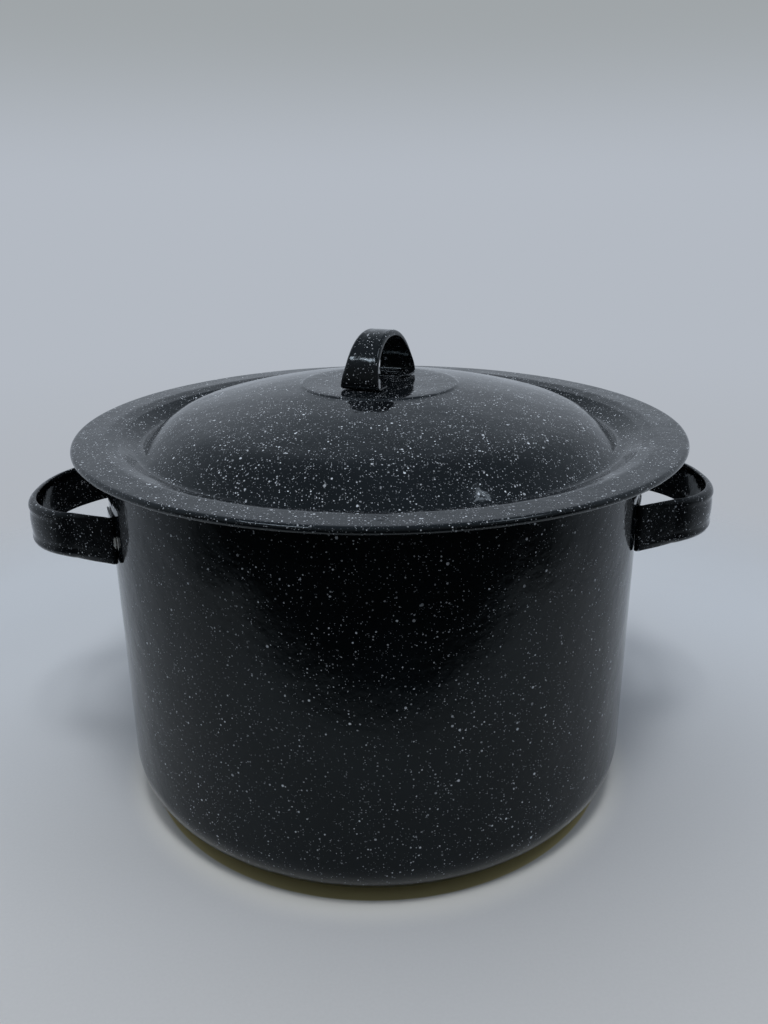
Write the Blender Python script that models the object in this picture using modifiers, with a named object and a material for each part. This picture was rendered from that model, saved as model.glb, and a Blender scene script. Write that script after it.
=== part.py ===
"""Enamelled steel stock pot with two side strap handles and a domed lift-off lid."""
import math

import bmesh
import bpy

MM = 0.001

# Pot shell
POT_RADIUS = 152.4 * MM
POT_HEIGHT = 215.4 * MM
BASE_CORNER_RADIUS = 30.0 * MM
SHEET = 1.0 * MM
RIM_CURL_RADIUS = 2.5 * MM
RIM_CURL_END_DEG = -100.0
TURN_STEPS = 72

# Lid shell, heights above the lower edge of its rolled rim
LID_SEAT_Z = 213.8 * MM
LID_OFFSET_X = 3.6 * MM
LID_RADIUS = 172.1 * MM
LID_RIM_RADIUS = 2.0 * MM
LID_RIM_END_DEG = -150.0
FLANGE_INNER_RADIUS = 157.0 * MM
FLANGE_INNER_Z = 3.2 * MM
BEAD_RADIUS = 148.5 * MM
BEAD_Z = 2.41 * MM
PLUG_TOP_RADIUS = 146.5 * MM
PLUG_TOP_Z = 1.7 * MM
PLUG_SLOPE_DEG = 32.0
PLUG_FILLET = 5.0 * MM
TROUGH_Z = -3.4 * MM
TROUGH_OUTER_RADIUS = 136.9 * MM
TROUGH_INNER_RADIUS = 136.6 * MM
TROUGH_FILLET = 5.0 * MM
SHOULDER_RADIUS = 45.0 * MM
SHOULDER_START_RADIUS = 108.0 * MM
SHOULDER_STEEP_DEG = 41.5
CROWN_EDGE_RADIUS = 46.0 * MM
CROWN_EDGE_Z = 26.4 * MM
CROWN_SPHERE_RADIUS = 400.0 * MM
DISC_RADIUS = 44.6 * MM
DISC_Z = 27.4 * MM

# Side handles
HANDLE_TOP_Z = 182.2 * MM
HANDLE_HEIGHT = 25.5 * MM
HANDLE_DROOP = 1.4 * MM
HANDLE_SHEET = 1.1 * MM
HANDLE_CENTRE_X = 145.0 * MM
HANDLE_REACH = 55.0 * MM
HANDLE_HALF_WIDTH = 56.0 * MM
HANDLE_SQUARENESS = 2.27
HANDLE_LIP = 4.2 * MM
EDGE_BEND = 2.8 * MM
WALL_GAP = 0.45 * MM
FOOT_DEGREES = (15.5, 16.0, 17.0, 18.5, 20.0, 21.5)
FOOT_BEND_DEG = 23.7
FOOT_BEND = 2.6 * MM
FOOT_CORNER = 7.0 * MM
BEND_SEGMENTS = 8
LEG_SEGMENTS = 3
LOOP_START_DEG = 72.0
LEG_CHANNEL = 0.35
LOOP_SEGMENTS = 26

# Lid handle
KNOB_TURN_DEG = 65.5
KNOB_HALF_SPAN = 29.0 * MM
KNOB_HEIGHT = 29.0 * MM
KNOB_SQUARENESS = 2.15
KNOB_BASE_WIDTH = 22.0 * MM
KNOB_TOP_WIDTH = 16.5 * MM
KNOB_LIP = 2.9 * MM
KNOB_FOOT_LENGTH = 13.0 * MM
KNOB_FOOT_BEND = 3.0 * MM
KNOB_FOOT_CORNER = 5.0 * MM
KNOB_SEGMENTS = 24

# Spot welds
WELD_RADIUS = 2.6 * MM
WELD_THICKNESS = 0.31 * MM
WELD_CLEARANCE = 0.07 * MM
WELD_DEG = 17.5
WELD_SPREAD = 6.0 * MM
KNOB_WELD_SPREAD = 5.0 * MM
WELD_SIDES = 12


def clear_scene():
    for obj in list(bpy.data.objects):
        bpy.data.objects.remove(obj, do_unlink=True)


def make_collection(name):
    collection = bpy.data.collections.new(name)
    bpy.context.scene.collection.children.link(collection)
    return collection


def make_material(name, colour, roughness, metallic):
    material = bpy.data.materials.new(name)
    material.use_nodes = True
    shader = material.node_tree.nodes["Principled BSDF"]
    shader.inputs["Base Color"].default_value = (*colour, 1.0)
    shader.inputs["Roughness"].default_value = roughness
    shader.inputs["Metallic"].default_value = metallic
    return material


def add_object(name, mesh, material):
    obj = bpy.data.objects.new(name, mesh)
    obj.data.materials.append(material)
    POT.objects.link(obj)
    for face in obj.data.polygons:
        face.use_smooth = True
    return obj


def arc(centre_r, centre_z, radius, start_deg, end_deg, segments):
    """Points of an arc in the (radius, height) plane."""
    points = []
    for i in range(segments + 1):
        angle = math.radians(start_deg + (end_deg - start_deg) * i / segments)
        points.append(
            (centre_r + radius * math.cos(angle), centre_z + radius * math.sin(angle))
        )
    return points


def turned_shell(name, profile, thickness, material):
    """Open profile along the shell's outer face, turned about Z and thickened inwards."""
    mesh = bpy.data.meshes.new(name)
    form = bmesh.new()
    verts = [form.verts.new((r, 0.0, z)) for r, z in profile]
    for a, b in zip(verts, verts[1:]):
        form.edges.new((a, b))
    form.to_mesh(mesh)
    form.free()
    obj = add_object(name, mesh, material)
    screw = obj.modifiers.new("turn", "SCREW")
    screw.axis = "Z"
    screw.steps = TURN_STEPS
    screw.render_steps = TURN_STEPS
    screw.use_merge_vertices = True
    screw.merge_threshold = 0.00001
    screw.use_smooth_shade = True
    sheet = obj.modifiers.new("sheet", "SOLIDIFY")
    sheet.thickness = thickness
    sheet.offset = -1.0
    sheet.use_even_offset = True
    return obj


def pot_profile():
    """Outer face of the pot from the curled rim down the wall to the middle of the base."""
    outer = RIM_CURL_RADIUS + SHEET / 2
    curl_r = POT_RADIUS - SHEET / 2 + RIM_CURL_RADIUS
    curl_z = POT_HEIGHT - outer
    inner = RIM_CURL_RADIUS - SHEET / 2
    points = arc(curl_r, curl_z, inner, RIM_CURL_END_DEG, 180.0, 9)
    corner_r = POT_RADIUS - BASE_CORNER_RADIUS
    wall_top_z = curl_z - 4.0 * MM
    points += [(POT_RADIUS, wall_top_z), (POT_RADIUS, BASE_CORNER_RADIUS * 2.5)]
    points += arc(corner_r, BASE_CORNER_RADIUS, BASE_CORNER_RADIUS, 0.0, -90.0, 8)
    points += [(corner_r / 2, 0.0), (0.0, 0.0)]
    return points


def lid_profile():
    """Upper face of the lid from the middle of the raised disc out and round the rolled rim."""
    rim_r = LID_RADIUS - LID_RIM_RADIUS
    points = arc(rim_r, LID_RIM_RADIUS, LID_RIM_RADIUS, LID_RIM_END_DEG, 90.0, 8)
    points += [(FLANGE_INNER_RADIUS, FLANGE_INNER_Z), (BEAD_RADIUS, BEAD_Z)]
    points += [(PLUG_TOP_RADIUS, PLUG_TOP_Z)]
    fillet_z = TROUGH_Z + PLUG_FILLET
    points += arc(TROUGH_OUTER_RADIUS, fillet_z, PLUG_FILLET, PLUG_SLOPE_DEG - 90.0, -90.0, 3)
    inner_z = TROUGH_Z + TROUGH_FILLET
    steep = SHOULDER_STEEP_DEG
    points += arc(TROUGH_INNER_RADIUS, inner_z, TROUGH_FILLET, -90.0, -90.0 - steep, 3)
    gentle = math.degrees(math.asin(SHOULDER_START_RADIUS / CROWN_SPHERE_RADIUS))
    crown_z = CROWN_EDGE_Z - math.sqrt(CROWN_SPHERE_RADIUS**2 - CROWN_EDGE_RADIUS**2)
    start_z = crown_z + CROWN_SPHERE_RADIUS * math.cos(math.radians(gentle))
    shoulder_r = SHOULDER_START_RADIUS - SHOULDER_RADIUS * math.sin(math.radians(gentle))
    shoulder_z = start_z - SHOULDER_RADIUS * math.cos(math.radians(gentle))
    points += arc(shoulder_r, shoulder_z, SHOULDER_RADIUS, 90.0 - steep, 90.0 - gentle, 5)
    edge = math.degrees(math.asin(CROWN_EDGE_RADIUS / CROWN_SPHERE_RADIUS))
    points += arc(0.0, crown_z, CROWN_SPHERE_RADIUS, 90.0 - gentle, 90.0 - edge, 3)[1:]
    points += [(DISC_RADIUS, DISC_Z), (DISC_RADIUS / 2, DISC_Z), (0.0, DISC_Z)]
    return [(r, LID_SEAT_Z + z) for r, z in reversed(points)]


def section(half_height, lip, channel):
    """Outer face across the strap as (depth, height): flat where channel is 0, lipped where 1."""
    bend = EDGE_BEND
    diagonal = bend * (1.0 - math.sqrt(0.5))
    flat = [half_height * f for f in (1.0, 0.92, 0.84, 0.75)]
    formed = [
        (lip, half_height),
        (bend, half_height),
        (diagonal, half_height - diagonal),
        (0.0, half_height - bend),
    ]
    upper = []
    for height, (depth, formed_height) in zip(flat, formed):
        upper.append((channel * depth, height + channel * (formed_height - height)))
    lower = [(depth, -height) for depth, height in upper]
    return lower + upper[::-1]


def strap(name, stations, sheet, material):
    """Strip of sheet along stations of (point, inward direction, width direction, half, lip, channel)."""
    mesh = bpy.data.meshes.new(name)
    form = bmesh.new()
    rows = []
    for point, inward, across, half, lip, channel in stations:
        row = []
        for depth, height in section(half, lip, channel):
            row.append(
                form.verts.new(
                    [point[k] + depth * inward[k] + height * across[k] for k in range(3)]
                )
            )
        rows.append(row)
    for a, b in zip(rows, rows[1:]):
        for k in range(len(a) - 1):
            form.faces.new((a[k], a[k + 1], b[k + 1], b[k]))
    form.to_mesh(mesh)
    form.free()
    obj = add_object(name, mesh, material)
    thicken = obj.modifiers.new("sheet", "SOLIDIFY")
    thicken.thickness = sheet
    thicken.offset = -1.0
    thicken.use_even_offset = True
    return obj


def flat_middle(angle_deg):
    """Direction in degrees that the turned wall's flat at this angle faces."""
    step = 360.0 / TURN_STEPS
    return (math.floor(angle_deg / step) + 0.5) * step


def wall_point(angle_deg, offset):
    """Point at this angle on the turned wall's flats, moved out by offset."""
    flat = POT_RADIUS * math.cos(math.pi / TURN_STEPS) + offset
    radius = flat / math.cos(math.radians(angle_deg - flat_middle(angle_deg)))
    angle = math.radians(angle_deg)
    return radius * math.cos(angle), radius * math.sin(angle)


def foot_half_height(distance, half, corner):
    """Half height of a foot at this distance from its end, with rounded corners."""
    if distance >= corner:
        return half
    return half - corner + math.sqrt(corner**2 - (corner - distance) ** 2)


def loop_point(angle):
    """Outer face of the side handle's loop at this parameter angle, in plan."""
    power = 2.0 / HANDLE_SQUARENESS
    c, s = math.cos(angle), math.sin(angle)
    x = HANDLE_CENTRE_X + HANDLE_REACH * abs(c) ** power
    y = HANDLE_HALF_WIDTH * math.copysign(abs(s) ** power, s)
    return x, y


def handle_path():
    """Outer face of half the side handle in plan, from its foot end to its middle, with the channel share."""
    path = [(*wall_point(angle, WALL_GAP), 0.0) for angle in FOOT_DEGREES]
    centre = wall_point(FOOT_BEND_DEG, WALL_GAP + FOOT_BEND)
    first = math.radians(LOOP_START_DEG)
    end = loop_point(first)
    dx, dy = end[0] - centre[0], end[1] - centre[1]
    begin = math.radians(flat_middle(FOOT_BEND_DEG)) + math.pi
    leave = math.atan2(dy, dx) + math.acos(FOOT_BEND / math.hypot(dx, dy))
    for i in range(BEND_SEGMENTS + 1):
        angle = begin + (leave - begin) * i / BEND_SEGMENTS
        x = centre[0] + FOOT_BEND * math.cos(angle)
        y = centre[1] + FOOT_BEND * math.sin(angle)
        path.append((x, y, 0.0))
    for i in range(1, LEG_SEGMENTS + 1):
        t = i / LEG_SEGMENTS
        path.append((x + (end[0] - x) * t, y + (end[1] - y) * t, LEG_CHANNEL * t * t))
    for i in range(1, LOOP_SEGMENTS // 2 + 1):
        t = i / (LOOP_SEGMENTS // 2)
        path.append((*loop_point(first * (1 - t)), min(1.0, LEG_CHANNEL + 3.0 * t)))
    return path


def handle_rise(x):
    """How far the side handle's strap stands above its lowest level at this distance from the axis."""
    share = (HANDLE_CENTRE_X + HANDLE_REACH - x) / HANDLE_REACH
    return HANDLE_DROOP * min(1.0, share)


def plan_stations(path, side):
    """Stations of a side handle from a mirrored half path."""
    whole = [(x, y, c) for x, y, c in path] + [(x, -y, c) for x, y, c in path[-2::-1]]
    half = HANDLE_HEIGHT / 2
    middle_z = HANDLE_TOP_Z - half
    stations = []
    travelled = [0.0]
    for a, b in zip(whole, whole[1:]):
        travelled.append(travelled[-1] + math.hypot(b[0] - a[0], b[1] - a[1]))
    for i, (x, y, channel) in enumerate(whole):
        before, after = whole[max(i - 1, 0)], whole[min(i + 1, len(whole) - 1)]
        dx, dy = after[0] - before[0], after[1] - before[1]
        size = math.hypot(dx, dy)
        inward = (dy / size * side, -dx / size * side, 0.0)
        reach = min(travelled[i], travelled[-1] - travelled[i])
        height = foot_half_height(reach + 0.8 * MM, half, FOOT_CORNER)
        point = (x * side, y * side, middle_z + handle_rise(x))
        stations.append((point, inward, (0.0, 0.0, 1.0), height, HANDLE_LIP, channel))
    return stations


def knob_stations():
    """Stations of the lid's strap handle, feet turned in under the arch."""
    disc_top = LID_SEAT_Z + DISC_Z + WALL_GAP
    turn = math.radians(KNOB_TURN_DEG)
    along = (math.cos(turn), math.sin(turn))
    across = (-math.sin(turn), math.cos(turn), 0.0)
    power = 2.0 / KNOB_SQUARENESS
    bend_s = KNOB_HALF_SPAN - KNOB_FOOT_BEND
    half_path = []
    for i in range(4):
        s = bend_s - KNOB_FOOT_LENGTH + KNOB_FOOT_LENGTH * i / 3
        half_path.append((s, 0.0, 0.0))
    for s, z in arc(bend_s, KNOB_FOOT_BEND, KNOB_FOOT_BEND, -60.0, 0.0, 2):
        half_path.append((s, z, 0.0))
    start = math.asin((KNOB_FOOT_BEND / KNOB_HEIGHT) ** (1.0 / power))
    for i in range(1, KNOB_SEGMENTS // 2 + 1):
        t = i / (KNOB_SEGMENTS // 2)
        angle = start + (math.pi / 2 - start) * t
        s = KNOB_HALF_SPAN * max(math.cos(angle), 0.0) ** power
        z = KNOB_HEIGHT * math.sin(angle) ** power
        half_path.append((s, z, min(1.0, 2.5 * t)))
    whole = half_path + [(-s, z, c) for s, z, c in half_path[-2::-1]]
    stations = []
    travelled = [0.0]
    for a, b in zip(whole, whole[1:]):
        travelled.append(travelled[-1] + math.hypot(b[0] - a[0], b[1] - a[1]))
    for i, (s, z, channel) in enumerate(whole):
        before, after = whole[max(i - 1, 0)], whole[min(i + 1, len(whole) - 1)]
        ds, dz = after[0] - before[0], after[1] - before[1]
        size = math.hypot(ds, dz)
        normal_s, normal_z = -dz / size, ds / size
        inward = (normal_s * along[0], normal_s * along[1], normal_z)
        share = z / KNOB_HEIGHT
        half = (KNOB_BASE_WIDTH + (KNOB_TOP_WIDTH - KNOB_BASE_WIDTH) * share) / 2
        reach = min(travelled[i], travelled[-1] - travelled[i])
        half = foot_half_height(reach + 0.6 * MM, half, KNOB_FOOT_CORNER)
        point = (LID_OFFSET_X + s * along[0], s * along[1], disc_top + z)
        stations.append((point, inward, across, half, KNOB_LIP, channel))
    return stations


def weld(name, location, rotation):
    bpy.ops.mesh.primitive_cylinder_add(
        vertices=WELD_SIDES,
        radius=WELD_RADIUS,
        depth=WELD_THICKNESS,
        location=location,
        rotation=rotation,
    )
    obj = bpy.context.object
    obj.name = name
    obj.data.name = name
    obj.data.materials.append(WELD_STEEL)
    for collection in list(obj.users_collection):
        collection.objects.unlink(obj)
    POT.objects.link(obj)
    return obj


def side_welds(side_name, side):
    """Four weld nuggets between a side handle's feet and the wall."""
    radius = POT_RADIUS * math.cos(math.pi / TURN_STEPS) + WELD_CLEARANCE + WELD_THICKNESS / 2
    middle_z = HANDLE_TOP_Z - HANDLE_HEIGHT / 2 + handle_rise(radius)
    for foot, turn in (("front", -1), ("back", 1)):
        angle = math.radians(WELD_DEG) * turn
        if side < 0:
            angle = math.pi - angle
        for level, up in (("upper", 1), ("lower", -1)):
            location = (
                radius * math.cos(angle),
                radius * math.sin(angle),
                middle_z + up * WELD_SPREAD,
            )
            name = f"{side_name}_handle_{foot}_{level}_weld"
            weld(name, location, (0.0, math.pi / 2, angle))


def knob_welds():
    """Two weld nuggets under each foot of the lid handle."""
    turn = math.radians(KNOB_TURN_DEG)
    z = LID_SEAT_Z + DISC_Z + WELD_CLEARANCE + WELD_THICKNESS / 2
    s = KNOB_HALF_SPAN - KNOB_FOOT_BEND - KNOB_FOOT_LENGTH / 2
    for foot, away in (("near", -1), ("far", 1)):
        for hand, across in (("left", 1), ("right", -1)):
            w = across * KNOB_WELD_SPREAD
            x = LID_OFFSET_X + away * s * math.cos(turn) - w * math.sin(turn)
            y = away * s * math.sin(turn) + w * math.cos(turn)
            weld(f"lid_handle_{foot}_{hand}_weld", (x, y, z), (0.0, 0.0, turn))


clear_scene()
POT = make_collection("stock_pot")
POT_ENAMEL = make_material("pot_enamel", (0.012, 0.013, 0.016), 0.12, 0.0)
LID_ENAMEL = make_material("lid_enamel", (0.013, 0.014, 0.017), 0.12, 0.0)
HANDLE_ENAMEL = make_material("handle_enamel", (0.011, 0.012, 0.015), 0.14, 0.0)
KNOB_ENAMEL = make_material("lid_handle_enamel", (0.011, 0.012, 0.015), 0.14, 0.0)
WELD_STEEL = make_material("weld_steel", (0.3, 0.3, 0.31), 0.5, 1.0)

turned_shell("pot_shell", pot_profile(), SHEET, POT_ENAMEL)
lid = turned_shell("lid_shell", lid_profile(), SHEET, LID_ENAMEL)
lid.location.x = LID_OFFSET_X
for side_name, side in (("left", -1), ("right", 1)):
    strap(f"{side_name}_handle", plan_stations(handle_path(), side), HANDLE_SHEET, HANDLE_ENAMEL)
    side_welds(side_name, side)
strap("lid_handle", knob_stations(), HANDLE_SHEET, KNOB_ENAMEL)
knob_welds()
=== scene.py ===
"""Looks of an enamelled stock pot with a loose domed lid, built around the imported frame."""

import math

import bpy
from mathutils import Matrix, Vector, noise


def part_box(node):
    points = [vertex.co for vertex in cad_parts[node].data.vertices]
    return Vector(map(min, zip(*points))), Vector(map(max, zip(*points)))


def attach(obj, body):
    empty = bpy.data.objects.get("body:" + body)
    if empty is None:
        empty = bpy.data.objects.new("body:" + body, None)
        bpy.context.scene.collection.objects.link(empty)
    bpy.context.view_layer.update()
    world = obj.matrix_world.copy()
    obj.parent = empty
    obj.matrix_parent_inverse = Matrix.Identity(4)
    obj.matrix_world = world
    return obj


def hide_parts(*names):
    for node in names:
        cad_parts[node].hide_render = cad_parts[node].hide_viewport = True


MM = 0.001

# Pot sheet
SHEET = 1.0 * MM
POT_RADIUS = 152.32 * MM
BASE_CORNER_RADIUS = 30.0 * MM
WALL_TOP_BELOW_CURL = 4.0 * MM
RIM_CURL_RADIUS = 2.5 * MM
RIM_CURL_END_DEG = -100.0

# Lid sheet, heights above the lower edge of its rolled rim
LID_SEAT_RISE = 4.4 * MM
LID_RIM_RADIUS = 2.0 * MM
LID_RIM_END_DEG = -150.0
FLANGE_INNER_RADIUS = 155.0 * MM
FLANGE_INNER_Z = 4.1 * MM
FLANGE_OUTER_Z = 4.0 * MM
BEAD_ROUND = 3.5 * MM
BEAD_SLOPE_DEG = 9.5
PLUG_TOP_RADIUS = 147.2 * MM
PLUG_TOP_Z = 2.14 * MM
PLUG_SLOPE_DEG = 32.0
PLUG_FILLET = 5.0 * MM
TROUGH_Z = -3.4 * MM
TROUGH_OUTER_RADIUS = 136.9 * MM
TROUGH_INNER_RADIUS = 136.6 * MM
TROUGH_FILLET = 5.0 * MM
SHOULDER_RADIUS = 45.0 * MM
SHOULDER_START_RADIUS = 108.0 * MM
SHOULDER_STEEP_DEG = 41.5
CROWN_EDGE_RADIUS = 46.0 * MM
CROWN_EDGE_Z = 26.4 * MM
CROWN_SPHERE_RADIUS = 400.0 * MM
DISC_RADIUS = 43.6 * MM
DISC_Z = 27.35 * MM
# Rounding of the disc's edge: distance out from its radius, drop from its top
DISC_EDGE = ((0.7 * MM, 0.10 * MM), (1.3 * MM, 0.40 * MM), (1.8 * MM, 0.78 * MM))

# Side handles
HANDLE_HEIGHT = 25.5 * MM
HANDLE_DROOP = 2.4 * MM
HANDLE_DROOP_SHARE = 0.29
HANDLE_SHEET = 1.1 * MM
HANDLE_CENTRE_X = 145.0 * MM
HANDLE_HALF_WIDTH = 56.0 * MM
HANDLE_SQUARENESS = 2.27
HANDLE_LIP = 4.2 * MM
HANDLE_BEND = 3.8 * MM
HANDLE_CROWN = 0.8 * MM
HANDLE_CHANNEL_RISE = 2.6
WALL_GAP = 0.12 * MM
FOOT_END_DEG = 15.5
FOOT_BEND_DEG = 24.05
FOOT_BEND = 1.7 * MM
FOOT_CORNER = 7.0 * MM
FOOT_END_REACH = 0.4 * MM
LEG_CHANNEL = 0.35
LOOP_START_DEG = 72.0

# Lid handle
KNOB_TURN_DEG = 65.5
KNOB_HALF_SPAN = 29.0 * MM
KNOB_HEIGHT = 29.0 * MM
KNOB_SQUARENESS = 2.15
KNOB_BASE_WIDTH = 22.0 * MM
KNOB_TOP_WIDTH = 16.5 * MM
KNOB_LIP = 2.9 * MM
KNOB_BEND = 2.2 * MM
KNOB_CROWN = 0.2 * MM
KNOB_CHANNEL_RISE = 2.0
KNOB_FOOT_LENGTH = 13.0 * MM
KNOB_FOOT_BEND = 3.0 * MM
KNOB_FOOT_CORNER = 5.0 * MM
KNOB_FOOT_END_REACH = 0.3 * MM

# Unevenness of the pressed sheet: wide and fine dents, how much finer the fine ones are
WALL_DENT_AROUND = 1.7
WALL_DENT_UP = 1.6
WALL_DENTS = (0.16 * MM, 0.05 * MM, 3.1)
WALL_DENT_FADE = (0.05, 0.09)
WALL_DENT_SPAN = (0.02, 0.96)
LID_DENT_SCALE = 14.0
LID_DENT_LEVEL = 3.7
LID_DENTS = (0.16 * MM, 0.04 * MM, 2.7)
LID_DENT_FADE = (0.05, 0.06)

# Mesh fineness
TURN_STEPS = 288
STAGE_TURN_STEPS = 96
ON_AXIS = 1e-7
SHEET_EDGE_SEGMENTS = 4
BASE_SEGMENTS = 8
BASE_CORNER_SEGMENTS = 20
WALL_SEGMENTS = 24
RIM_CURL_SEGMENTS = 20
DISC_SEGMENTS = 8
CROWN_SEGMENTS = 16
SHOULDER_SEGMENTS = 16
TROUGH_SEGMENTS = 10
SLOPE_SEGMENTS = 6
BEAD_SEGMENTS = 8
BEAD_SLOPE_SEGMENTS = 4
FLANGE_SEGMENTS = 10
LID_RIM_SEGMENTS = 16
BACKDROP_BEND_SEGMENTS = 16
SECTION_ARC = 8
SECTION_BAND = 6
# Heights of the lipped section's ends and band on a plain strip, as shares of the half height
PLAIN_ARC_SHARE = 0.97
PLAIN_BAND_SHARE = 0.80
FOOT_STEPS = 14
FOOT_SPACING = 1.6
BEND_STEPS = 14
LEG_STEPS = 12
LOOP_STEPS = 44
KNOB_FOOT_STEPS = 12
KNOB_FOOT_SPACING = 1.5
KNOB_BEND_STEPS = 8
KNOB_STEPS = 36

# Flecks: cells per metre, share of cells, largest radius and soft edge in cells, least whiteness
FLECK_LAYERS = (
    (1450.0, 0.42, 0.38, 0.10, 0.12),
    (760.0, 0.34, 0.38, 0.07, 0.35),
    (270.0, 0.34, 0.22, 0.035, 0.60),
)
FLECK_COLOUR = (0.80, 0.86, 0.94, 1.0)
FLECK_RAGGED_SCALE = 1900.0
FLECK_RAGGED = 0.42 * MM

# Enamel: base colour, fleck share, pattern shift, index of refraction
POT_ENAMEL = ((0.0028, 0.0042, 0.0054), 0.62, 0.31, 1.33)
LID_ENAMEL = ((0.0042, 0.0054, 0.0068), 1.3, 0.83, 1.45)
HANDLE_ENAMEL = ((0.0036, 0.0044, 0.0054), 1.0, 1.57, 1.33)
KNOB_ENAMEL = ((0.0036, 0.0044, 0.0054), 1.0, 2.21, 1.45)
ENAMEL_GLOSS_TINT = (0.84, 0.96, 1.0, 1.0)
SHIFT_RATIOS = (1.0, 0.7, 1.3)
CLOUD_SCALE = 26.0
CLOUD_LIGHTENING = 1.5
PATCH_SCALE = 75.0
SMEAR_SCALE = 9.0
PEEL_SCALE = 210.0
PEEL_STRENGTH = 0.22
PEEL_DEPTH = 0.6 * MM
SWELL_SCALE = 34.0
SWELL_STRENGTH = 0.5
SWELL_DEPTH = 1.2 * MM

# Chip in the enamel beside the left handle's front leg
CHIP_DEG = 24.9
CHIP_RISE = 0.3 * MM
CHIP_HALF_SIZE = (1.9 * MM, 1.9 * MM, 4.2 * MM)
CHIP_RAGGED_SCALE = 900.0
CHIP_RAGGED = 0.9
CHIP_ROUGHNESS = 0.45
UNDERCOAT_COLOUR = (0.93, 0.93, 0.92, 1.0)
RUST_COLOUR = (0.055, 0.032, 0.012, 1.0)

# Welds
WELD_DARK = (0.20, 0.20, 0.21, 1.0)
WELD_LIGHT = (0.42, 0.42, 0.43, 1.0)
WELD_GRAIN_SCALE = 2600.0

# Camera
CAMERA_PLACE = (-0.0155, -0.5103, 0.3485)
CAMERA_HEADING_DEG = 2.36
CAMERA_PITCH_DEG = 20.13
CAMERA_ROLL_DEG = -0.51
CAMERA_LENS_MM = 31.64
CAMERA_SENSOR_MM = 36.0
CAMERA_CLIP = (0.01, 30.0)

# Floor: each pair of tones is the darker and the lighter of its paper grain
CONTACT_RADIUS = 143.0 * MM
CONTACT_FADE_RADIUS = 165.0 * MM
CONTACT_EDGE = 0.6 * MM
# Painted shadow: an olive tint with a crisp edge inside CONTACT_RADIUS, for the shade under the
# pot's base corner.
PAINTED_CONTACT_SHADOW_COLOUR = (0.80, 0.70, 0.36, 1.0)
# Painted light: a lighter ring round the base, fading out by CONTACT_FADE_RADIUS, for light bounced
# near the pot.
PAINTED_LIGHT_RING_COLOUR = (0.95, 0.95, 0.92, 1.0)
NEAR_FLOOR_TONES = ((0.71, 0.715, 0.72, 1.0), (0.76, 0.765, 0.77, 1.0))
# Painted light: the far tones are lighter and bluer, as the cool light falls further back.
FAR_FLOOR_TONES = ((0.74, 0.78, 0.83, 1.0), (0.79, 0.83, 0.88, 1.0))
FLOOR_CLOUD_TONE = (0.72, 0.74, 0.77, 1.0)
FLOOR_GRAIN_SCALE = 600.0
FLOOR_CLOUD_SCALE = 5.0
FLOOR_ROUGHNESS = 0.5
FLOOR_TURN_Y = (-0.30, 0.20)
FLOOR_FADE = (0.42, 0.62)
FRONT_FADE = (0.27, 0.40)
FLOOR_MARGIN = 0.02

# Backdrop
BACKDROP_RADIUS = 2.2
BACKDROP_BEND = 0.8
BACKDROP_HEIGHT = 3.0
BACKDROP_DROP = 1.5 * MM
NEAR_FRONT_TONE = (0.398, 0.410, 0.428, 1.0)
NEAR_BACK_TONE = (0.437, 0.465, 0.508, 1.0)
FAR_TONE = (0.456, 0.491, 0.546, 1.0)
HIGH_TONE = (0.350, 0.376, 0.392, 1.0)
NEAR_TURN_Y = (-0.35, 0.20)
FAR_REACH = (0.5, 1.6)
HIGH_Z = (0.33, 0.80)

# World light, by direction
BACK_TONE = (0.46, 0.505, 0.57, 1.0)
FRONT_TONE = (0.12, 0.125, 0.125, 1.0)
TOP_TONE = (0.19, 0.22, 0.26, 1.0)
LOW_FRONT_TONE = (0.012, 0.012, 0.011, 1.0)
WORLD_TURN_Y = (-0.75, 0.55)
WORLD_TOP_Z = (0.35, 0.95)
LOW_FRONT_Y = (0.0, -0.5)
LOW_FRONT_Z = (0.25, -0.05)
WORLD_DIFFUSE_SHARE = 0.8

# Lamps: name, place, aim, width, height, power, colour, shows in gloss, lights matt surfaces
WHITE_LAMP = (0.97, 0.985, 1.0)
BLUE_LAMP = (0.86, 0.90, 1.0)
LAMPS = (
    ("softbox", (-0.2, 0.05, 1.55), (0.0, 0.0, 0.0), 1.5, 1.5, 8.6, WHITE_LAMP, False, True),
    ("overhead", (0.0, -0.52, 1.25), (0.0, -0.05, 0.0), 0.25, 0.2, 3.6, WHITE_LAMP, False, True),
    ("side_lamp", (0.58, -0.33, 1.08), (0.05, -0.1, 0.22), 0.26, 0.22, 0.65, BLUE_LAMP, True, True),
    ("left_lamp", (-0.54, -0.51, 1.085), (0.0, 0.0, 0.25), 0.42, 0.10, 1.6, BLUE_LAMP, True, False),
)

# Sockets of Blender's colour Mix node
MIX_FACTOR, MIX_A, MIX_B, MIX_RESULT = 0, 6, 7, 2

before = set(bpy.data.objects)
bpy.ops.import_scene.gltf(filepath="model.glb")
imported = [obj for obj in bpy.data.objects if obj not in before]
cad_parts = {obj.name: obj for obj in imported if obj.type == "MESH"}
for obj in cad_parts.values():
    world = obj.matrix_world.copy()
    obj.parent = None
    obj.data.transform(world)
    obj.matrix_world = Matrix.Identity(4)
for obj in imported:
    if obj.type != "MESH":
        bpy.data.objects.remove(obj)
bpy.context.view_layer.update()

POT_LOW, POT_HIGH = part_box("pot_shell")
LID_LOW, LID_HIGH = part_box("lid_shell")
RIGHT_LOW, RIGHT_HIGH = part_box("right_handle")
KNOB_LOW, KNOB_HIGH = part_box("lid_handle")
LID_CENTRE = Vector(((LID_LOW.x + LID_HIGH.x) / 2, (LID_LOW.y + LID_HIGH.y) / 2, 0.0))
LID_SEAT_Z = LID_LOW.z + LID_SEAT_RISE
LID_RADIUS = (LID_HIGH.y - LID_LOW.y) / 2
HANDLE_MIDDLE_Z = (RIGHT_LOW.z + RIGHT_HIGH.z) / 2
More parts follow.
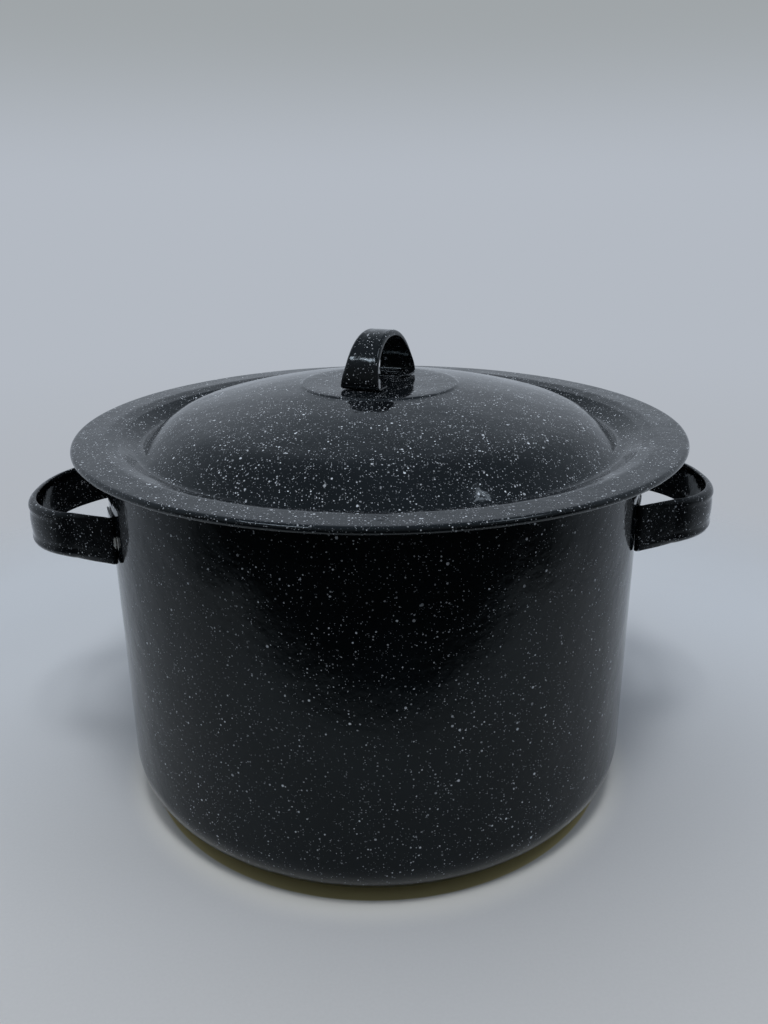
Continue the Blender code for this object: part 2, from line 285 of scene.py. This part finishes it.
HANDLE_REACH = RIGHT_HIGH.x - HANDLE_CENTRE_X
CHIP_CENTRE = (
    -(POT_RADIUS + WALL_GAP) * math.cos(math.radians(CHIP_DEG)),
    -(POT_RADIUS + WALL_GAP) * math.sin(math.radians(CHIP_DEG)),
    HANDLE_MIDDLE_Z + CHIP_RISE,
)


# ---------------------------------------------------------------- geometry


def clamped(value):
    return min(1.0, max(0.0, value))


def smooth(value):
    value = clamped(value)
    return value * value * (3.0 - 2.0 * value)


def arc(centre_r, centre_z, radius, start_deg, end_deg, segments):
    points = []
    for i in range(segments + 1):
        angle = math.radians(start_deg + (end_deg - start_deg) * i / segments)
        points.append(
            (centre_r + radius * math.cos(angle), centre_z + radius * math.sin(angle))
        )
    return points


def line(a, b, segments):
    """Points between a and b, leaving both ends out."""
    return [
        (a[0] + (b[0] - a[0]) * i / segments, a[1] + (b[1] - a[1]) * i / segments)
        for i in range(1, segments)
    ]


def step_at(points, i):
    """Difference of the two points beside point i, and its length."""
    before, after = points[max(i - 1, 0)], points[min(i + 1, len(points) - 1)]
    dx, dy = after[0] - before[0], after[1] - before[1]
    return dx, dy, math.hypot(dx, dy)


def offset_line(points, distance):
    """The line moved sideways: to the right of its direction for a positive distance."""
    moved = []
    for i, (x, y) in enumerate(points):
        dx, dy, size = step_at(points, i)
        moved.append((x + dy / size * distance, y - dx / size * distance))
    return moved


def last_step(points):
    return points[-1][0] - points[-2][0], points[-1][1] - points[-2][1]


def cap(outer, inner, ahead):
    """Points of a half circle between the two faces of a sheet's edge, bulging ahead."""
    cx, cy = (outer[0] + inner[0]) / 2, (outer[1] + inner[1]) / 2
    vx, vy = outer[0] - cx, outer[1] - cy
    radius = math.hypot(vx, vy)
    size = math.hypot(*ahead)
    ax, ay = ahead[0] / size * radius, ahead[1] / size * radius
    points = []
    for i in range(1, SHEET_EDGE_SEGMENTS):
        angle = math.pi * i / SHEET_EDGE_SEGMENTS
        c, s = math.cos(angle), math.sin(angle)
        points.append((cx + vx * c + ax * s, cy + vy * c + ay * s))
    return points


def mesh_object(name, verts, faces, material):
    mesh = bpy.data.meshes.new(name)
    mesh.from_pydata(verts, [], faces)
    mesh.validate()
    mesh.update()
    obj = bpy.data.objects.new(name, mesh)
    bpy.context.scene.collection.objects.link(obj)
    mesh.materials.append(material)
    mesh.polygons.foreach_set("use_smooth", [True] * len(mesh.polygons))
    return obj


def lathe(name, outline, centre, material, shape=None, steps=TURN_STEPS):
    """Turns a section about a vertical line through centre. Points on the axis stay single."""
    verts = []
    rings = []
    for r, z in outline:
        if r < ON_AXIS:
            rings.append([len(verts)])
            verts.append((centre.x, centre.y, z))
            continue
        ring = []
        for i in range(steps):
            angle = 2 * math.pi * i / steps
            radius, height = (r, z) if shape is None else shape(r, z, angle)
            x = centre.x + radius * math.cos(angle)
            y = centre.y + radius * math.sin(angle)
            ring.append(len(verts))
            verts.append((x, y, height))
        rings.append(ring)
    faces = []
    for a, b in zip(rings, rings[1:]):
        for i in range(steps):
            j = (i + 1) % steps
            if len(a) == 1:
                faces.append((a[0], b[i], b[j]))
            elif len(b) == 1:
                faces.append((a[i], b[0], a[j]))
            else:
                faces.append((a[i], b[i], b[j], a[j]))
    return mesh_object(name, verts, faces, material)


def pot_outline():
    """From the middle of the base's outer face up the wall, over the curl and down inside."""
    corner_r = POT_RADIUS - BASE_CORNER_RADIUS
    curl_outer = RIM_CURL_RADIUS + SHEET / 2
    curl_inner = RIM_CURL_RADIUS - SHEET / 2
    curl_r = POT_RADIUS - SHEET / 2 + RIM_CURL_RADIUS
    curl_z = POT_HIGH.z - curl_outer
    top = (POT_RADIUS, curl_z - WALL_TOP_BELOW_CURL)
    outer = [(0.0, 0.0)]
    outer += line((0.0, 0.0), (corner_r, 0.0), BASE_SEGMENTS)
    outer += arc(
        corner_r, BASE_CORNER_RADIUS, BASE_CORNER_RADIUS, -90.0, 0.0, BASE_CORNER_SEGMENTS
    )
    outer += line(outer[-1], top, WALL_SEGMENTS)
    outer += [top]
    outer += arc(curl_r, curl_z, curl_inner, 180.0, RIM_CURL_END_DEG, RIM_CURL_SEGMENTS)
    inner = offset_line(outer, -SHEET)
    inner[0] = (0.0, SHEET)
    return outer + cap(outer[-1], inner[-1], last_step(outer)) + inner[::-1]


def dome_points():
    """Upper face of the lid from the disc's middle down to the foot of its shoulder."""
    points = [(0.0, DISC_Z)]
    points += line((0.0, DISC_Z), (DISC_RADIUS, DISC_Z), DISC_SEGMENTS)
    points += [(DISC_RADIUS, DISC_Z)]
    points += [(DISC_RADIUS + out, DISC_Z - drop) for out, drop in DISC_EDGE]
    sphere = CROWN_SPHERE_RADIUS
    crown_z = CROWN_EDGE_Z - math.sqrt(sphere**2 - CROWN_EDGE_RADIUS**2)
    edge = math.degrees(math.asin(CROWN_EDGE_RADIUS / sphere))
    gentle = math.degrees(math.asin(SHOULDER_START_RADIUS / sphere))
    steep = SHOULDER_STEEP_DEG
    points += arc(0.0, crown_z, sphere, 90.0 - edge, 90.0 - gentle, CROWN_SEGMENTS)
    start_z = crown_z + sphere * math.cos(math.radians(gentle))
    shoulder_r = SHOULDER_START_RADIUS - SHOULDER_RADIUS * math.sin(math.radians(gentle))
    shoulder_z = start_z - SHOULDER_RADIUS * math.cos(math.radians(gentle))
    shoulder = arc(
        shoulder_r, shoulder_z, SHOULDER_RADIUS, 90.0 - gentle, 90.0 - steep, SHOULDER_SEGMENTS
    )
    points += shoulder[1:]
    foot_z = TROUGH_Z + TROUGH_FILLET
    foot = arc(
        TROUGH_INNER_RADIUS, foot_z, TROUGH_FILLET, -90.0 - steep, -90.0, TROUGH_SEGMENTS
    )
    return points + line(points[-1], foot[0], SLOPE_SEGMENTS) + foot


def flange_points():
    """Upper face of the lid from the trough over the bead and the flange, round the rolled rim."""
    slope = PLUG_SLOPE_DEG
    fillet_z = TROUGH_Z + PLUG_FILLET
    points = arc(
        TROUGH_OUTER_RADIUS, fillet_z, PLUG_FILLET, -90.0, slope - 90.0, SLOPE_SEGMENTS
    )
    points += line(points[-1], (PLUG_TOP_RADIUS, PLUG_TOP_Z), SLOPE_SEGMENTS)
    bead_r = PLUG_TOP_RADIUS + BEAD_ROUND * math.sin(math.radians(slope))
    bead_z = PLUG_TOP_Z - BEAD_ROUND * math.cos(math.radians(slope))
    points += arc(
        bead_r, bead_z, BEAD_ROUND, 90.0 + slope, 90.0 + BEAD_SLOPE_DEG, BEAD_SEGMENTS
    )
    start = (FLANGE_INNER_RADIUS, FLANGE_INNER_Z)
    rim_r = LID_RADIUS - LID_RIM_RADIUS
    points += line(points[-1], start, BEAD_SLOPE_SEGMENTS)
    points += [start]
    points += line(start, (rim_r, FLANGE_OUTER_Z), FLANGE_SEGMENTS)
    points += arc(
        rim_r, LID_RIM_RADIUS, LID_RIM_RADIUS, 90.0, LID_RIM_END_DEG, LID_RIM_SEGMENTS
    )
    return points


def lid_outline():
    """From the middle of the disc's upper face out to the rolled rim and back underneath."""
    upper = dome_points() + flange_points()
    lower = offset_line(upper, SHEET)
    lower[0] = (0.0, DISC_Z - SHEET)
    outline = upper + cap(upper[-1], lower[-1], last_step(upper)) + lower[::-1]
    return [(r, LID_SEAT_Z + z) for r, z in outline]


def dent(place, dents):
    wide, fine, finer = dents
    return (noise.noise(place) + 1.0) * wide + (noise.noise(place * finer) + 1.0) * fine


def pot_shape(r, z, angle):
    """Slight unevenness of a pressed wall, only ever inwards."""
    height = z / POT_HIGH.z
    x, y = math.cos(angle) * WALL_DENT_AROUND, math.sin(angle) * WALL_DENT_AROUND
    place = Vector((x, y, height * WALL_DENT_UP))
    start, reach = WALL_DENT_FADE
    low, span = WALL_DENT_SPAN
    share = clamped((r - start) / reach) * math.sin(math.pi * min(1.0, height * span + low))
    return r - dent(place, WALL_DENTS) * share, z


def lid_shape(r, z, angle):
    """Slight sag of the flange and unevenness of the crown, only ever downwards."""
    scale = r * LID_DENT_SCALE
    place = Vector((math.cos(angle) * scale, math.sin(angle) * scale, LID_DENT_LEVEL))
    start, reach = LID_DENT_FADE
    return r, z - dent(place, LID_DENTS) * clamped((r - start) / reach)


def strap_section(half, lip, bend, crown, channel):
    """Outer face across the strap as (depth, height): flat for channel 0, lipped for channel 1."""
    upper = [((lip, half), (0.0, half))]
    for i in range(SECTION_ARC + 1):
        angle = math.radians(90.0 * i / SECTION_ARC)
        formed = (bend - bend * math.sin(angle), half - bend + bend * math.cos(angle))
        drop = (PLAIN_ARC_SHARE - PLAIN_BAND_SHARE) * i / SECTION_ARC
        upper.append((formed, (0.0, half * (PLAIN_ARC_SHARE - drop))))
    flat_top = half - bend
    for i in range(1, SECTION_BAND):
        share = 1.0 - i / SECTION_BAND
        formed = (crown * share**2, flat_top * share)
        upper.append((formed, (0.0, PLAIN_BAND_SHARE * half * share)))
    upper = [
        (f[0] * channel + p[0] * (1 - channel), f[1] * channel + p[1] * (1 - channel))
        for f, p in upper
    ]
    return upper + [(0.0, 0.0)] + [(d, -h) for d, h in reversed(upper)]


def strap_mesh(name, stations, sheet, bend, crown, material):
    """Sheet strip with rounded edges along (point, inward, across, half, lip, channel) stations."""
    verts = []
    rows = []
    for point, inward, across, half, lip, channel in stations:
        outer = strap_section(half, lip, bend, crown, channel)
        inner = offset_line(outer, -sheet)
        first = last_step(outer[1::-1])
        loop = outer + cap(outer[-1], inner[-1], last_step(outer))
        loop += inner[::-1] + cap(inner[0], outer[0], first)
        row = []
        for depth, height in loop:
            row.append(len(verts))
            verts.append(
                tuple(point[k] + depth * inward[k] + height * across[k] for k in range(3))
            )
        rows.append(row)
    faces = []
    count = len(rows[0])
    for a, b in zip(rows, rows[1:]):
        for k in range(count):
            n = (k + 1) % count
            faces.append((a[k], a[n], b[n], b[k]))
    for row in (rows[0], rows[-1]):
        middle = len(verts)
        verts.append(tuple(sum(verts[i][k] for i in row) / count for k in range(3)))
        for k in range(count):
            faces.append((row[k], row[(k + 1) % count], middle))
    return mesh_object(name, verts, faces, material)


def foot_half_height(distance, half, corner):
    """Half height of a foot at this distance from its end, with rounded corners."""
    if distance >= corner:
        return half
    return half - corner + math.sqrt(corner**2 - (corner - distance) ** 2)


def loop_point(angle):
    """Outer face of the side handle's loop at this parameter angle, in plan."""
    power = 2.0 / HANDLE_SQUARENESS
    c, s = math.cos(angle), math.sin(angle)
    x = HANDLE_CENTRE_X + HANDLE_REACH * abs(c) ** power
    y = HANDLE_HALF_WIDTH * math.copysign(abs(s) ** power, s)
    return x, y


def handle_path():
    """Half the side handle's outer face in plan, foot end to middle, as (x, y, channel)."""
    radius = POT_RADIUS + WALL_GAP
    path = []
    for i in range(FOOT_STEPS):
        share = (i / FOOT_STEPS) ** FOOT_SPACING
        angle = math.radians(FOOT_END_DEG + (FOOT_BEND_DEG - FOOT_END_DEG) * share)
        path.append((radius * math.cos(angle), radius * math.sin(angle), 0.0))
    bend = math.radians(FOOT_BEND_DEG)
    middle = radius + FOOT_BEND
    centre = (middle * math.cos(bend), middle * math.sin(bend))
    first = math.radians(LOOP_START_DEG)
    end = loop_point(first)
    dx, dy = end[0] - centre[0], end[1] - centre[1]
    begin = bend + math.pi
    leave = math.atan2(dy, dx) + math.acos(FOOT_BEND / math.hypot(dx, dy))
    for i in range(BEND_STEPS + 1):
        angle = begin + (leave - begin) * i / BEND_STEPS
        x = centre[0] + FOOT_BEND * math.cos(angle)
        y = centre[1] + FOOT_BEND * math.sin(angle)
        path.append((x, y, 0.0))
    for i in range(1, LEG_STEPS + 1):
        t = i / LEG_STEPS
        path.append((x + (end[0] - x) * t, y + (end[1] - y) * t, LEG_CHANNEL * t * t))
    for i in range(1, LOOP_STEPS + 1):
        t = i / LOOP_STEPS
        share = LEG_CHANNEL + (1.0 - LEG_CHANNEL) * smooth(HANDLE_CHANNEL_RISE * t)
        path.append((*loop_point(first * (1 - t)), share))
    return path


def distances(points):
    """Distance of each point from the nearer end, along the line."""
    travelled = [0.0]
    for a, b in zip(points, points[1:]):
        travelled.append(travelled[-1] + math.hypot(b[0] - a[0], b[1] - a[1]))
    return [min(t, travelled[-1] - t) for t in travelled]


def side_handle_stations(side):
    """Stations of the handle on the left for side -1, on the right for side 1."""
    path = handle_path()
    whole = path + [(x, -y, c) for x, y, c in path[-2::-1]]
    stations = []
    for i, ((x, y, channel), reach) in enumerate(zip(whole, distances(whole))):
        dx, dy, size = step_at(whole, i)
        inward = (dy / size * side, -dx / size * side, 0.0)
        half = foot_half_height(reach + FOOT_END_REACH, HANDLE_HEIGHT / 2, FOOT_CORNER)
        rise = min(1.0, (HANDLE_CENTRE_X + HANDLE_REACH - x) / HANDLE_REACH)
        z = HANDLE_MIDDLE_Z + HANDLE_DROOP * (rise - HANDLE_DROOP_SHARE)
        point = (x * side, y * side, z)
        stations.append((point, inward, (0.0, 0.0, 1.0), half, HANDLE_LIP, channel))
    return stations


def knob_path():
    """Outer face of half the lid handle, foot end to top, as (distance along, height, channel)."""
    power = 2.0 / KNOB_SQUARENESS
    bend_s = KNOB_HALF_SPAN - KNOB_FOOT_BEND
    path = []
    for i in range(KNOB_FOOT_STEPS):
        share = (i / KNOB_FOOT_STEPS) ** KNOB_FOOT_SPACING
        path.append((bend_s - KNOB_FOOT_LENGTH * (1.0 - share), 0.0, 0.0))
    for s, z in arc(bend_s, KNOB_FOOT_BEND, KNOB_FOOT_BEND, -90.0, 0.0, KNOB_BEND_STEPS):
        path.append((s, z, 0.0))
    start = math.asin((KNOB_FOOT_BEND / KNOB_HEIGHT) ** (1.0 / power))
    for i in range(1, KNOB_STEPS + 1):
        t = i / KNOB_STEPS
        angle = start + (math.pi / 2 - start) * t
        s = KNOB_HALF_SPAN * max(math.cos(angle), 0.0) ** power
        z = KNOB_HEIGHT * math.sin(angle) ** power
        path.append((s, z, smooth(KNOB_CHANNEL_RISE * t)))
    return path


def lid_handle_stations():
    """Stations of the lid's strap handle, feet turned in under the arch."""
    turn = math.radians(KNOB_TURN_DEG)
    along = (math.cos(turn), math.sin(turn))
    across = (-math.sin(turn), math.cos(turn), 0.0)
    path = knob_path()
    whole = path + [(-s, z, c) for s, z, c in path[-2::-1]]
    stations = []
    for i, ((s, z, channel), reach) in enumerate(zip(whole, distances(whole))):
        ds, dz, size = step_at(whole, i)
        normal_s, normal_z = -dz / size, ds / size
        inward = (normal_s * along[0], normal_s * along[1], normal_z)
        share = z / KNOB_HEIGHT
        half = (KNOB_BASE_WIDTH + (KNOB_TOP_WIDTH - KNOB_BASE_WIDTH) * share) / 2
        half = foot_half_height(reach + KNOB_FOOT_END_REACH, half, KNOB_FOOT_CORNER)
        point = (LID_CENTRE.x + s * along[0], s * along[1], KNOB_LOW.z + z)
        stations.append((point, inward, across, half, KNOB_LIP, channel))
    return stations


# ---------------------------------------------------------------- materials


class Tree:
    """Small helper for building node trees."""

    def __init__(self, tree):
        self.tree = tree
        self.tree.nodes.clear()

    def add(self, kind, inputs=None, **settings):
        node = self.tree.nodes.new(kind)
        for key, value in settings.items():
            setattr(node, key, value)
        for key, value in (inputs or {}).items():
            if isinstance(value, bpy.types.NodeSocket):
                self.tree.links.new(value, node.inputs[key])
            else:
                node.inputs[key].default_value = value
        return node

    def place(self):
        return self.add("ShaderNodeTexCoord").outputs["Object"]

    def math(self, operation, a, b=0.0, c=0.0, clamp=False):
        node = self.add("ShaderNodeMath", {0: a, 1: b, 2: c}, operation=operation)
        node.use_clamp = clamp
        return node.outputs[0]

    def vector(self, operation, a, b):
        node = self.add("ShaderNodeVectorMath", {0: a, 1: b}, operation=operation)
        return node.outputs["Vector"]

    def length(self, a):
        node = self.add("ShaderNodeVectorMath", {0: a}, operation="LENGTH")
        return node.outputs["Value"]

    def mix(self, factor, a, b):
        inputs = {MIX_FACTOR: factor, MIX_A: a, MIX_B: b}
        return self.add("ShaderNodeMix", inputs, data_type="RGBA").outputs[MIX_RESULT]

    def noise(self, coords, scale, detail=2.0, roughness=0.5):
        return self.add(
            "ShaderNodeTexNoise",
            {"Vector": coords, "Scale": scale, "Detail": detail, "Roughness": roughness},
        )

    def grain(self, coords, scale, detail=2.0, roughness=0.5):
        return self.noise(coords, scale, detail, roughness).outputs["Fac"]

    def step(self, value, low, high, to_low=0.0, to_high=1.0):
        node = self.add(
            "ShaderNodeMapRange",
            {0: value, 1: low, 2: high, 3: to_low, 4: to_high},
            interpolation_type="SMOOTHSTEP",
        )
        return node.outputs[0]


def new_material(name):
    material = bpy.data.materials.new(name)
    material.use_nodes = True
    return material, Tree(material.node_tree)


def fleck_layer(tree, coords, cells, share, size, soft, dim):
    """Spots in a share of the cells of a 3-D pattern, each of its own size and whiteness."""
    cell = tree.add("ShaderNodeTexVoronoi", {"Vector": coords, "Scale": cells})
    parts = tree.add("ShaderNodeSeparateColor", {0: cell.outputs["Color"]})
    radius = tree.step(parts.outputs[0], 1.0 - share, 1.0, -soft, size)
    gap = tree.math("SUBTRACT", radius, cell.outputs["Distance"])
    spot = tree.math("DIVIDE", gap, soft, clamp=True)
    bright = tree.math("MULTIPLY_ADD", parts.outputs[1], 1.0 - dim, dim)
    return tree.math("MULTIPLY", spot, bright)


def fleck_share(tree, shifted, flecks):
    """Whiteness of all the fleck layers, with ragged outlines and thinner patches."""
    ripple = tree.noise(shifted, FLECK_RAGGED_SCALE, 1.0).outputs["Color"]
    warp = tree.vector("SUBTRACT", ripple, (0.5, 0.5, 0.5))
    warp = tree.add(
        "ShaderNodeVectorMath", {"Vector": warp, "Scale": FLECK_RAGGED}, operation="SCALE"
    ).outputs["Vector"]
    coords = tree.vector("ADD", shifted, warp)
    total = None
    for cells, share, size, soft, dim in FLECK_LAYERS:
        layer = fleck_layer(tree, coords, cells, share * flecks, size, soft, dim)
        total = layer if total is None else tree.math("MAXIMUM", total, layer)
    thick = tree.step(tree.grain(shifted, PATCH_SCALE), 0.32, 0.62, 0.35, 1.0)
    return tree.math("MULTIPLY", total, thick)


def chip_parts(tree, place):
    """Shares of white undercoat and of rust in the chip beside the left handle's front leg."""
    shape = tree.vector("DIVIDE", tree.vector("SUBTRACT", place, CHIP_CENTRE), CHIP_HALF_SIZE)
    ragged = tree.grain(place, CHIP_RAGGED_SCALE, 3.0)
    edge = tree.math("MULTIPLY_ADD", ragged, CHIP_RAGGED, tree.length(shape))
    return tree.step(edge, 1.42, 1.32), tree.step(edge, 0.92, 0.78)


def enamel(name, look, chipped=False):
    """Gloss black porcelain enamel with white flecks of several sizes."""
    base, flecks, shift, ior = look
    material, tree = new_material(name)
    place = tree.place()
    shifted = tree.vector("ADD", place, [shift * ratio for ratio in SHIFT_RATIOS])
    cloud = tree.step(tree.grain(shifted, CLOUD_SCALE, 3.0), 0.35, 0.65)
    light = (*[value * CLOUD_LIGHTENING for value in base], 1.0)
    ground = tree.mix(cloud, (*base, 1.0), light)
    colour = tree.mix(fleck_share(tree, shifted, flecks), ground, FLECK_COLOUR)
    smear = tree.grain(shifted, SMEAR_SCALE, 4.0, 0.6)
    rough = tree.step(smear, 0.35, 0.75, 0.05, 0.13)
    if chipped:
        bare, rust = chip_parts(tree, place)
        colour = tree.mix(bare, colour, UNDERCOAT_COLOUR)
        colour = tree.mix(rust, colour, RUST_COLOUR)
        rough = tree.math("MULTIPLY_ADD", bare, CHIP_ROUGHNESS, rough)
    normal = None
    for scale, detail, strength, depth in (
        (PEEL_SCALE, 2.0, PEEL_STRENGTH, PEEL_DEPTH),
        (SWELL_SCALE, 1.0, SWELL_STRENGTH, SWELL_DEPTH),
    ):
        height = tree.grain(shifted, scale, detail)
        inputs = {"Strength": strength, "Distance": depth, "Height": height}
        if normal is not None:
            inputs["Normal"] = normal
        normal = tree.add("ShaderNodeBump", inputs).outputs["Normal"]
    shader = tree.add(
        "ShaderNodeBsdfPrincipled",
        {
            "Base Color": colour,
            "Roughness": rough,
            "IOR": ior,
            "Specular Tint": ENAMEL_GLOSS_TINT,
            "Normal": normal,
        },
    )
    tree.add("ShaderNodeOutputMaterial", {"Surface": shader.outputs[0]})
    return material


def weld_steel():
    material, tree = new_material("weld_steel_look")
    grain = tree.grain(tree.place(), WELD_GRAIN_SCALE, 3.0)
    colour = tree.mix(grain, WELD_DARK, WELD_LIGHT)
    rough = tree.step(grain, 0.2, 0.8, 0.35, 0.65)
    shader = tree.add(
        "ShaderNodeBsdfPrincipled",
        {"Base Color": colour, "Metallic": 1.0, "Roughness": rough},
    )
    tree.add("ShaderNodeOutputMaterial", {"Surface": shader.outputs[0]})
    return material


# ---------------------------------------------------------------- object

POT_LOOK = enamel("pot_enamel_look", POT_ENAMEL, chipped=True)
LID_LOOK = enamel("lid_enamel_look", LID_ENAMEL)
HANDLE_LOOK = enamel("handle_enamel_look", HANDLE_ENAMEL, chipped=True)
KNOB_LOOK = enamel("lid_handle_enamel_look", KNOB_ENAMEL)
WELD_LOOK = weld_steel()

pot = lathe("pot_shell_look", pot_outline(), Vector((0, 0, 0)), POT_LOOK, pot_shape)
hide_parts("pot_shell")
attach(pot, "pot")

lid = lathe("lid_shell_look", lid_outline(), LID_CENTRE, LID_LOOK, lid_shape)
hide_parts("lid_shell")
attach(lid, "lid")

for hand, side in (("left", -1), ("right", 1)):
    handle = strap_mesh(
        f"{hand}_handle_look",
        side_handle_stations(side),
        HANDLE_SHEET,
        HANDLE_BEND,
        HANDLE_CROWN,
        HANDLE_LOOK,
    )
    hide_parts(f"{hand}_handle")
    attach(handle, "pot")

knob = strap_mesh(
    "lid_handle_look", lid_handle_stations(), HANDLE_SHEET, KNOB_BEND, KNOB_CROWN, KNOB_LOOK
)
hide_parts("lid_handle")
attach(knob, "lid")

for node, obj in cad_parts.items():
    if node.endswith("_weld"):
        obj.data.materials.clear()
        obj.data.materials.append(WELD_LOOK)


# ---------------------------------------------------------------- surroundings


def floor_material():
    """Pale matt sheet that gives way to the backdrop at its edges, with painted light and shade on
    it: a painted contact shadow and a painted light ring round the pot's base, and paper painted
    lighter and bluer towards the back.
    """
    material, tree = new_material("floor_look")
    place = tree.place()
    y = tree.add("ShaderNodeSeparateXYZ", {0: place}).outputs["Y"]
    reach = tree.length(place)
    grain = tree.grain(place, FLOOR_GRAIN_SCALE, 3.0)
    cloud = tree.grain(place, FLOOR_CLOUD_SCALE)
    # Painted light: paper lighter and bluer towards the back.
    paper = tree.mix(
        tree.step(y, *FLOOR_TURN_Y),
        tree.mix(grain, *NEAR_FLOOR_TONES),
        tree.mix(grain, *FAR_FLOOR_TONES),
    )
    paper = tree.mix(tree.step(cloud, 0.3, 0.7, 0.0, 0.2), paper, FLOOR_CLOUD_TONE)
    # Painted light: lighter ring round the pot's base, fading out by CONTACT_FADE_RADIUS.
    outside = tree.step(reach, CONTACT_RADIUS, CONTACT_FADE_RADIUS)
    paper = tree.mix(outside, PAINTED_LIGHT_RING_COLOUR, paper)
    # Painted shadow: olive tint with a crisp edge inside CONTACT_RADIUS, under the base corner's
    # overhang.
    inside = tree.step(reach, CONTACT_RADIUS + CONTACT_EDGE, CONTACT_RADIUS - CONTACT_EDGE)
    paper = tree.mix(inside, paper, PAINTED_CONTACT_SHADOW_COLOUR)
    sheet = tree.add("ShaderNodeBsdfDiffuse", {"Color": paper, "Roughness": FLOOR_ROUGHNESS})
    clear = tree.add("ShaderNodeBsdfTransparent")
    ahead = tree.step(tree.math("MULTIPLY", y, -1.0), *FRONT_FADE)
    gone = tree.math("MAXIMUM", tree.step(reach, *FLOOR_FADE), ahead)
    mixed = tree.add("ShaderNodeMixShader", {0: gone, 1: sheet.outputs[0], 2: clear.outputs[0]})
    tree.add("ShaderNodeOutputMaterial", {"Surface": mixed.outputs[0]})
    return material


def backdrop_material():
    """Evenly lit pale surroundings: bluer far behind the object, greyer high up."""
    material, tree = new_material("backdrop_look")
    place = tree.place()
    parts = tree.add("ShaderNodeSeparateXYZ", {0: place})
    near = tree.mix(
        tree.step(parts.outputs["Y"], *NEAR_TURN_Y), NEAR_FRONT_TONE, NEAR_BACK_TONE
    )
    colour = tree.mix(tree.step(tree.length(place), *FAR_REACH), near, FAR_TONE)
    colour = tree.mix(tree.step(parts.outputs["Z"], *HIGH_Z), colour, HIGH_TONE)
    glow = tree.add("ShaderNodeEmission", {"Color": colour, "Strength": 1.0})
    tree.add("ShaderNodeOutputMaterial", {"Surface": glow.outputs[0]})
    return material


def surroundings():
    """Floor disc that catches the shadow, and a backdrop that only the camera sees."""
    origin = Vector((0, 0, 0))
    edge = FLOOR_FADE[1] + FLOOR_MARGIN
    floor = lathe(
        "floor", [(0.0, 0.0), (edge, 0.0)], origin, floor_material(), steps=STAGE_TURN_STEPS
    )
    flat = BACKDROP_RADIUS - BACKDROP_BEND
    bend = arc(
        flat, BACKDROP_BEND - BACKDROP_DROP, BACKDROP_BEND, -90.0, 0.0, BACKDROP_BEND_SEGMENTS
    )
    sweep = [(0.0, -BACKDROP_DROP), (flat, -BACKDROP_DROP)] + bend[1:]
    sweep += [(BACKDROP_RADIUS, BACKDROP_HEIGHT), (0.0, BACKDROP_HEIGHT)]
    backdrop = lathe("backdrop", sweep, origin, backdrop_material(), steps=STAGE_TURN_STEPS)
    backdrop.visible_diffuse = False
    backdrop.visible_glossy = False
    backdrop.visible_transmission = False
    backdrop.visible_shadow = False


def world_light():
    """Pale behind and at the sides, darker towards the front and straight up."""
    world = bpy.data.worlds.new("tent")
    bpy.context.scene.world = world
    world.use_nodes = True
    tree = Tree(world.node_tree)
    direction = tree.add("ShaderNodeTexCoord").outputs["Generated"]
    parts = tree.add("ShaderNodeSeparateXYZ", {0: direction})
    y, z = parts.outputs["Y"], parts.outputs["Z"]
    colour = tree.mix(tree.step(y, *WORLD_TURN_Y), FRONT_TONE, BACK_TONE)
    colour = tree.mix(tree.step(z, *WORLD_TOP_Z), colour, TOP_TONE)
    low_front = tree.math("MULTIPLY", tree.step(y, *LOW_FRONT_Y), tree.step(z, *LOW_FRONT_Z))
    colour = tree.mix(low_front, colour, LOW_FRONT_TONE)
    diffuse = tree.add("ShaderNodeLightPath").outputs["Is Diffuse Ray"]
    strength = tree.math("MULTIPLY_ADD", diffuse, WORLD_DIFFUSE_SHARE - 1.0, 1.0)
    glow = tree.add("ShaderNodeBackground", {"Color": colour, "Strength": strength})
    tree.add("ShaderNodeOutputWorld", {"Surface": glow.outputs[0]})


def lamp(name, place, aim, width, height, power, colour, glossy, matt):
    data = bpy.data.lights.new(name, "AREA")
    data.shape = "RECTANGLE"
    data.size = width
    data.size_y = height
    data.energy = power
    data.color = colour
    light = bpy.data.objects.new(name, data)
    bpy.context.scene.collection.objects.link(light)
    light.location = place
    light.rotation_mode = "QUATERNION"
    light.rotation_quaternion = (Vector(aim) - Vector(place)).to_track_quat("-Z", "Y")
    light.visible_camera = False
    light.visible_glossy = glossy
    light.visible_diffuse = matt


def camera():
    data = bpy.data.cameras.new("camera")
    data.lens = CAMERA_LENS_MM
    data.sensor_width = CAMERA_SENSOR_MM
    data.clip_start, data.clip_end = CAMERA_CLIP
    obj = bpy.data.objects.new("camera", data)
    bpy.context.scene.collection.objects.link(obj)
    heading = math.radians(CAMERA_HEADING_DEG)
    pitch = math.radians(CAMERA_PITCH_DEG)
    roll = math.radians(CAMERA_ROLL_DEG)
    level = Vector((math.cos(heading), -math.sin(heading), 0.0))
    ahead = Vector((math.sin(heading), math.cos(heading), 0.0))
    forward = ahead * math.cos(pitch) - Vector((0.0, 0.0, math.sin(pitch)))
    upright = level.cross(forward)
    right = math.cos(roll) * level + math.sin(roll) * upright
    up = -math.sin(roll) * level + math.cos(roll) * upright
    matrix = obj.matrix_world.copy()
    for row in range(3):
        matrix[row][0] = right[row]
        matrix[row][1] = up[row]
        matrix[row][2] = -forward[row]
        matrix[row][3] = CAMERA_PLACE[row]
    obj.matrix_world = matrix
    bpy.context.scene.camera = obj


surroundings()
world_light()
for row in LAMPS:
    lamp(*row)
camera()
bpy.context.scene.view_settings.view_transform = "Standard"
